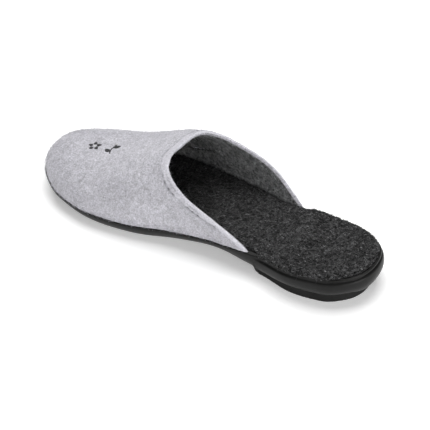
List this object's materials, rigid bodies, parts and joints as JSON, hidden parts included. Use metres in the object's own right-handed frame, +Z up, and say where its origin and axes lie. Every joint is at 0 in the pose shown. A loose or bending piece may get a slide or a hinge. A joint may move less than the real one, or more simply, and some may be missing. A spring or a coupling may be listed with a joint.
{
  "type": "felt slipper",
  "caption": "Backless felt slipper for the right foot: hollow felt upper with an open heel, thick felt insole, moulded black sole with a low wedge heel.",
  "frame": {"origin": "on the floor, under the middle of the bounding box", "axes": "+Y to the toe, +X to the wearer's right (the outer side of the foot), +Z up"},
  "size_m": [0.0892, 0.254, 0.0631],
  "materials": {
    "grey_felt": "matt mottled light grey wool felt, charcoal felt lining",
    "charcoal_felt": "matt curly charcoal wool felt with pale flecks",
    "black_sole": "satin moulded black"
  },
  "bodies": {
    "root": {"upper": "grey_felt", "insole": "charcoal_felt", "sole": "black_sole"}
  },
  "joints": []
}
